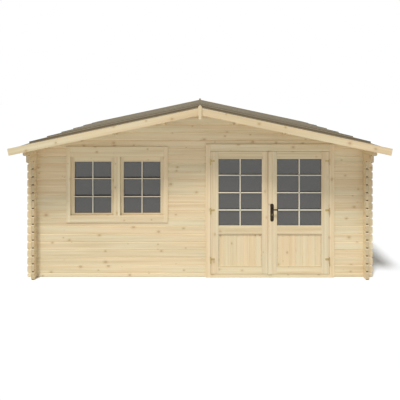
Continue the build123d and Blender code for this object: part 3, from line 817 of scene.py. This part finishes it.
def glaze(opening, gasket_name, body, sheets, stand_off, upright_bar, level_bar, strip, heights, lap=0.0):
    """Beads, gasket and bars of some glass, and dark strips under the level bars that show as painted shade.
    Bars are thickness and width, a strip width and lift.
    """
    beads, gasket, uprights, levels, strips = (bmesh.new() for _ in range(5))
    strip_width, strip_lift = strip
    strip_heights = [height + strip_lift for height in heights]
    for sheet_low, sheet_high in sheets:
        field = low, high = sheet_low + glass_tongue, sheet_high - glass_tongue
        middle = (sheet_low.x + sheet_high.x) / 2
        inside, outside = high.y + bead_depth, low.y - gasket_depth
        outline = [(0.0, high.y), (0.0, inside), (bead_width * 0.35, inside)]
        outline += [(bead_width * 0.8, high.y + bead_depth * 0.6), (bead_width, high.y)]
        add_mitred_bead(beads, low, high, outline)
        outline = [(0.0, low.y), (0.0, outside), (gasket_width, outside), (gasket_width, low.y)]
        add_mitred_bead(gasket, low, high, outline)
        add_bars(uprights, field, stand_off, *upright_bar, (middle,), lap, True)
        add_bars(levels, field, stand_off, *level_bar, heights, lap, False)
        add_bars(strips, field, 0.0, stand_off, strip_width, strip_heights, 0.0, False)
    make_piece(opening + "_glass_beads", beads, joinery_level_pine, body)
    make_piece(gasket_name, gasket, gasket_rubber, body)
    make_piece(opening + "_upright_bars", uprights, bar_upright_paint, body)
    make_piece(opening + "_level_bars", levels, bar_level_paint, body)
    make_piece(opening + "_bar_shade_strips", strips, bar_shade_rubber, body)


for side in ("left", "right"):
    glaze(
        side + "_door", side + "_door_glass_gasket", side + "_leaf", [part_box(side + "_door_glass")],
        door_bar_stand_off, (door_bar_thickness, door_upright_bar), (door_bar_thickness, door_level_bar),
        (door_shade_strip_width, door_shade_strip_lift), door_bar_heights,
    )


# Door fillets
# Thin pine fillets on the jambs, under the head and along the left leaf's edge.
# They close most of the gaps round the leaves and keep the draught out.
fillet_gap = 0.0025
fillet_set_back = 0.0015
fillet_depth = 0.012
fillet_edge = 0.0006
left_leaf_low, left_leaf_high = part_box("left_door_stiles")
right_leaf_low, right_leaf_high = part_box("right_door_stiles")
fillet_front = left_leaf_low.y + fillet_set_back
fillet_back = fillet_front + fillet_depth
leaf_foot, leaf_top = left_leaf_low.z, left_leaf_high.z
frame_fillets, leaf_fillets = bmesh.new(), bmesh.new()
for mesh, left, right, foot, top in (
    (frame_fillets, top_low.x, left_leaf_low.x - fillet_gap, leaf_foot, leaf_top),
    (frame_fillets, right_leaf_high.x + fillet_gap, top_high.x, leaf_foot, leaf_top),
    (frame_fillets, top_low.x, top_high.x, leaf_top + fillet_gap, top_low.z),
    (leaf_fillets, left_leaf_high.x, right_leaf_low.x - fillet_gap, leaf_foot, leaf_top),
):
    add_board(mesh, (left, fillet_front, foot), (right, fillet_back, top), fillet_edge)
make_piece("door_frame_fillets", frame_fillets, joinery_upright_pine, "cabin")
make_piece("left_leaf_edge_fillet", leaf_fillets, joinery_upright_pine, "left_leaf")


# Door hinges
# Lift-off hinges of yellow zinc-plated steel: a pin on the jamb stands in a plate's knuckle on the leaf.
# Each leaf plate is held by three cross-headed screws.
hinge_dull = (0.40, 0.30, 0.13, 1.0)
hinge_bright = (0.60, 0.47, 0.23, 1.0)
hinge_steel = metal_finish("yellow zinc-plated steel", hinge_dull, hinge_bright, 0.45)
dress(hinge_steel, "left_hinge_pins", "right_hinge_pins", "left_hinge_plates", "right_hinge_plates")
knuckle_length = 0.044
hinge_plate_thickness = 0.0025
hinge_screw_places = ((0.026, 0.0075), (0.026, 0.0195), (0.053, 0.0135))
for side, flip in (("left", 1), ("right", -1)):
    hinge_low, hinge_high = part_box(side + "_hinge_plates")
    plate_face = hinge_high.y - hinge_plate_thickness
    lowest, highest = hinge_low.z, hinge_high.z - knuckle_length
    knuckle_edge = hinge_low.x if flip > 0 else hinge_high.x
    screws = bmesh.new()
    for z in (lowest, (lowest + highest) / 2, highest):
        for offset_x, offset_z in hinge_screw_places:
            at = (knuckle_edge + flip * offset_x, plate_face, z + offset_z)
            add_head(screws, at, (0, -1, 0), *screw)
    make_piece(side + "_hinge_screws", screws, hinge_steel, side + "_leaf")


# Door handle
# Long plates with round ends on both faces of the right leaf, and levers on one spindle, in dark bronze.
# A moulded rim runs round each plate, a key cylinder sits below the lever, and two screws hold the plate.
bronze = metal_finish("dark bronze", (0.020, 0.015, 0.011, 1.0), (0.075, 0.055, 0.038, 1.0), 0.38, 140.0)
handle_edge = 0.0015
dress(bronze, "door_handle_plates", "door_lever")
ease_edges(handle_edge, "door_handle_plates", "door_lever")
handle_low, handle_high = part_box("door_handle_plates")
handle_x = (handle_low.x + handle_high.x) / 2
rim_width = 0.0035
rim_lap = 0.002
rim_rise = 0.004
rim_edge = 0.001
rim_steps = 10
half_plate = (handle_high.x - handle_low.x) / 2
rim_inner, rim_outer = half_plate - rim_lap, half_plate + rim_width
outline = [(rim_inner, 0.0), (rim_inner, rim_rise), (rim_outer - rim_edge, rim_rise)]
outline += [(rim_outer, rim_rise - rim_edge), (rim_outer, 0.0)]
rims = bmesh.new()
for face, out in ((right_leaf_low.y, -1), (right_leaf_high.y, 1)):
    loops = []
    for radius, rise in outline:
        loop = []
        for centre, start in ((handle_high.z - half_plate, 0.0), (handle_low.z + half_plate, pi)):
            for step in range(rim_steps + 1):
                turn = start + pi * step / rim_steps
                x, z = handle_x + radius * cos(turn), centre + radius * sin(turn)
                loop.append(rims.verts.new((x, face + out * rise, z)))
        loops.append(loop)
    join_loops(rims, loops, ring=True)
make_piece("door_handle_rims", rims, bronze, "right_leaf")

handle_screw_inset = 0.02
key_height = 0.914
key_radius = 0.0085
key_rise = 0.0025
key_recess = key_rise * 0.9
key_edge = 0.0008
key_foot_half_width = 0.005
key_foot_drop = 0.024
handle_screws, key_cylinders = bmesh.new(), bmesh.new()
for face, out in ((handle_low.y, -1), (handle_high.y, 1)):
    for z in (handle_low.z + handle_screw_inset, handle_high.z - handle_screw_inset):
        add_head(handle_screws, (handle_x, face, z), (0, out, 0), *screw)
    add_head(key_cylinders, (handle_x, face, key_height), (0, out, 0), key_radius, key_rise, key_recess)
    near, far = sorted((face, face + out * key_rise))
    foot_low = (handle_x - key_foot_half_width, near, key_height - key_foot_drop)
    foot_high = (handle_x + key_foot_half_width, far, key_height - key_radius / 2)
    add_board(key_cylinders, foot_low, foot_high, key_edge)
make_piece("door_handle_screws", handle_screws, bronze, "right_leaf")
brass = metal_finish("key cylinder brass", (0.16, 0.125, 0.07, 1.0), (0.28, 0.225, 0.13, 1.0), 0.35)
make_piece("door_key_cylinders", key_cylinders, brass, "right_leaf")


# Lock and bolts
# A lock is let into the right leaf's meeting edge, and two barrel bolts hold the left leaf from inside.
# Their zinc-coated plates are screwed to the wood, and the bolts are drawn back here.
lever_height = 0.988
lock_foot = 0.845
lock_head = 1.055
lock_half_width = 0.010
lock_rise = 0.001
lock_edge = 0.0003
latch_reach = 0.003
latch_edge = 0.0008
latches = ((lever_height, 0.006, 0.009), (key_height, 0.005, 0.016))
lock_screw_inset = 0.012
lock_screw_rise = 0.0006
lock_screw_recess = 0.0005
leaf_middle = (left_leaf_low.y + left_leaf_high.y) / 2
meeting_edge = right_leaf_low.x
lock = bmesh.new()
plate_foot = (meeting_edge - lock_rise, leaf_middle - lock_half_width, lock_foot)
add_board(lock, plate_foot, (meeting_edge, leaf_middle + lock_half_width, lock_head), lock_edge)
for height, half_width, half_rise in latches:
    latch_foot = (meeting_edge - latch_reach, leaf_middle - half_width, height - half_rise)
    add_board(lock, latch_foot, (meeting_edge, leaf_middle + half_width, height + half_rise), latch_edge)
for z in (lock_foot + lock_screw_inset, lock_head - lock_screw_inset):
    at = (meeting_edge - lock_rise, leaf_middle, z)
    add_head(lock, at, (-1, 0, 0), screw_radius, lock_screw_rise, lock_screw_recess)
make_piece("door_lock_plate", lock, zinc, "right_leaf")

bolt_length = 0.150
bolt_half_width = 0.016
bolt_plate_rise = 0.002
bolt_plate_edge = 0.0006
bolt_radius = 0.005
bolt_sides = 12
bolt_overhang = 0.004
bolt_knob_rise = 0.011
bolt_keep_half_width = 0.009
bolt_keep_height = 0.014
bolt_keep_inset = 0.022
bolt_keep_cover = 0.0015
bolt_keep_edge = 0.001
bolt_screw_aside = 0.011
bolt_screw_inset = 0.009
bolt_inset = 0.012
bolt_from_edge = 0.040
door_head_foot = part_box("door_head")[0].z
bolt_x = left_leaf_high.x - bolt_from_edge
bolt_face = left_leaf_high.y + bolt_plate_rise
rod_y = bolt_face + bolt_radius
rod_turns = [2 * pi * step / bolt_sides for step in range(bolt_sides)]
rod_outline = [(bolt_x + bolt_radius * cos(turn), rod_y + bolt_radius * sin(turn)) for turn in rod_turns]
bolts = bmesh.new()
for foot in (left_leaf_low.z + bolt_inset, door_head_foot - bolt_inset - bolt_length):
    top = foot + bolt_length
    plate_foot = (bolt_x - bolt_half_width, left_leaf_high.y, foot)
    add_board(bolts, plate_foot, (bolt_x + bolt_half_width, bolt_face, top), bolt_plate_edge)
    add_strip(bolts, rod_outline, foot - bolt_overhang, top + bolt_overhang, lambda z, x, y: (x, y, z))
    keep_face = rod_y + bolt_radius + bolt_keep_cover
    for keep in (foot + bolt_keep_inset, top - bolt_keep_inset - bolt_keep_height):
        keep_top = (bolt_x + bolt_keep_half_width, keep_face, keep + bolt_keep_height)
        add_board(bolts, (bolt_x - bolt_keep_half_width, bolt_face, keep), keep_top, bolt_keep_edge)
    knob_at = (bolt_x, rod_y + bolt_radius * 0.8, (foot + top) / 2)
    add_head(bolts, knob_at, (0, 1, 0), bolt_radius, bolt_knob_rise)
    for x in (bolt_x - bolt_screw_aside, bolt_x + bolt_screw_aside):
        for z in (foot + bolt_screw_inset, top - bolt_screw_inset):
            add_head(bolts, (x, bolt_face, z), (0, 1, 0), nail_radius, screw_rise, screw_recess)
make_piece("left_leaf_bolts", bolts, zinc, "left_leaf")


# Window frame and sashes
# Pine posts, head and sill in the opening, with two fixed sashes of stiles and rails.
# Flat casing boards cover the joint with the logs and the mullion.
dress(joinery_upright_pine, "window_posts", "window_sash_stiles")
dress(joinery_level_pine, "window_head_and_sill", "window_sash_rails")
dress(trim_upright_pine, "window_casing_uprights")
dress(trim_level_pine, "window_casing_boards")
ease_edges(joinery_edge, "window_sash_stiles", "window_sash_rails")
ease_edges(joinery_edge, "window_casing_uprights", "window_casing_boards")

frame_low, frame_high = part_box("window_casing_uprights")
window_nail_count = 5
window_nail_foot = 0.06
window_nail_step = 0.245
window_nail_inset = 0.03
window_nails = bmesh.new()
window_middle = (frame_low.x + frame_high.x) / 2
for x in (frame_low.x + window_nail_inset, window_middle, frame_high.x - window_nail_inset):
    for index in range(window_nail_count):
        z = frame_low.z + window_nail_foot + index * window_nail_step
        add_head(window_nails, (x, frame_low.y, z), (0, -1, 0), *nail)
make_piece("window_casing_nails", window_nails, zinc, "cabin")


# Window glass and its bars
# One sheet of clear glass a sash, held by pine beads inside.
# A grid of thin bars is pinned over both faces of the sash, clear of the glass, and makes six panes of it.
# Dark rubber strips fill the space between the level bars and the glass and show above them as painted shade.
dress(glass, "window_glass")
both_low, both_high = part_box("window_glass")
sheet_width = 0.550
window_upright_bar = 0.014
window_level_bar = 0.0115
# Width and lift of the dark strips of painted shade above the window's level bars.
window_shade_strip_width = 0.0275
window_shade_strip_lift = 0.005
window_bar_thickness = 0.004
window_bar_step = 0.0004
window_bar_lap = 0.012
window_bar_heights = (1.158, 1.420)
sheets = []
for left in (both_low.x, both_high.x - sheet_width):
    sheet_high = Vector((left + sheet_width, both_high.y, both_high.z))
    sheets.append((Vector((left, both_low.y, both_low.z)), sheet_high))
sash_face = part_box("window_sash_stiles")[0].y
glaze(
    "window", "window_glass_gaskets", "cabin", sheets, both_low.y - sash_face,
    (window_bar_thickness, window_upright_bar), (window_bar_thickness + window_bar_step, window_level_bar),
    (window_shade_strip_width, window_shade_strip_lift), window_bar_heights, window_bar_lap,
)


# Studio floor
# A wide white floor under the cabin, seen as white and holding its soft shadow.
# It is no part of the cabin.
def seen_share(tree):
    """1 where the camera, a gloss or glass looks, and 0 for the light that falls on the cabin."""
    rays = put(tree, "LightPath").outputs
    seen = reckon(tree, "MAXIMUM", rays["Is Camera Ray"], rays["Is Glossy Ray"])
    return reckon(tree, "MAXIMUM", seen, rays["Is Transmission Ray"])


floor_half = 60.0
floor_level = -0.001
floor_paint = (0.72, 0.72, 0.72, 1.0)
floor_seen_paint = (0.768, 0.792, 0.826, 1.0)
stage_data = bpy.data.meshes.new("studio floor")
stage_signs = ((-1, -1), (1, -1), (1, 1), (-1, 1))
stage_corners = [(x * floor_half, y * floor_half, floor_level) for x, y in stage_signs]
stage_data.from_pydata(stage_corners, [], [(0, 1, 2, 3)])
stage_white, stage_tree = start_finish("studio white")[:2]
stage_tree.nodes.remove(stage_tree.nodes["Principled BSDF"])
matt = put(stage_tree, "BsdfDiffuse", (("Color", floor_paint),)).outputs["BSDF"]
bright_matt = put(stage_tree, "BsdfDiffuse", (("Color", floor_seen_paint),)).outputs["BSDF"]
stage_feeds = (("Fac", seen_share(stage_tree)), (1, matt), (2, bright_matt))
result = put(stage_tree, "MixShader", stage_feeds).outputs["Shader"]
stage_tree.links.new(result, stage_tree.nodes["Material Output"].inputs["Surface"])
stage_data.materials.append(stage_white)
stage_floor = set_up("studio_floor", stage_data)


# Light
# Soft daylight from a pale sky, which is seen as white.
# A high sun in front, a little to the left, casts the verge's shade on the wall.
sky_strength = 0.395
sun_strength = 3.1
sun_height = radians(67.1)
sun_left = radians(27.0)
sun_softness = radians(9.0)
sun_tint = (1.0, 0.99, 0.97)
sky = bpy.data.worlds.new("pale sky")
bpy.context.scene.world = sky
sky.use_nodes = True
sky_tree = sky.node_tree
sky_feeds = (("Value", seen_share(sky_tree)), ("To Min", sky_strength), ("To Max", 1.0))
sky_level = put(sky_tree, "MapRange", sky_feeds).outputs["Result"]
sky_shader = sky_tree.nodes["Background"]
sky_shader.inputs["Color"].default_value = (1.0, 1.0, 1.0, 1.0)
sky_tree.links.new(sky_level, sky_shader.inputs["Strength"])
sun_data = bpy.data.lights.new("sun", "SUN")
sun_data.energy = sun_strength
sun_data.angle = sun_softness
sun_data.color = sun_tint
sun = set_up("sun", sun_data)
to_sun = Vector((-sin(sun_left) * cos(sun_height), -cos(sun_left) * cos(sun_height), sin(sun_height)))
sun.rotation_euler = to_sun.to_track_quat("Z", "Y").to_euler()


# Camera
# Level camera in front of the middle of the cabin at about ridge height.
# The lens is shifted down, which keeps the uprights parallel.
camera_data = bpy.data.cameras.new("camera")
camera_data.lens = 35.0
camera_data.sensor_width = 36.0
camera_data.shift_y = -0.275
camera = set_up("camera", camera_data)
camera.location = (0.0, -7.538, 2.707)
camera.rotation_euler = (radians(90.0), 0.0, 0.0)
bpy.context.scene.camera = camera
bpy.context.scene.view_settings.view_transform = "Standard"
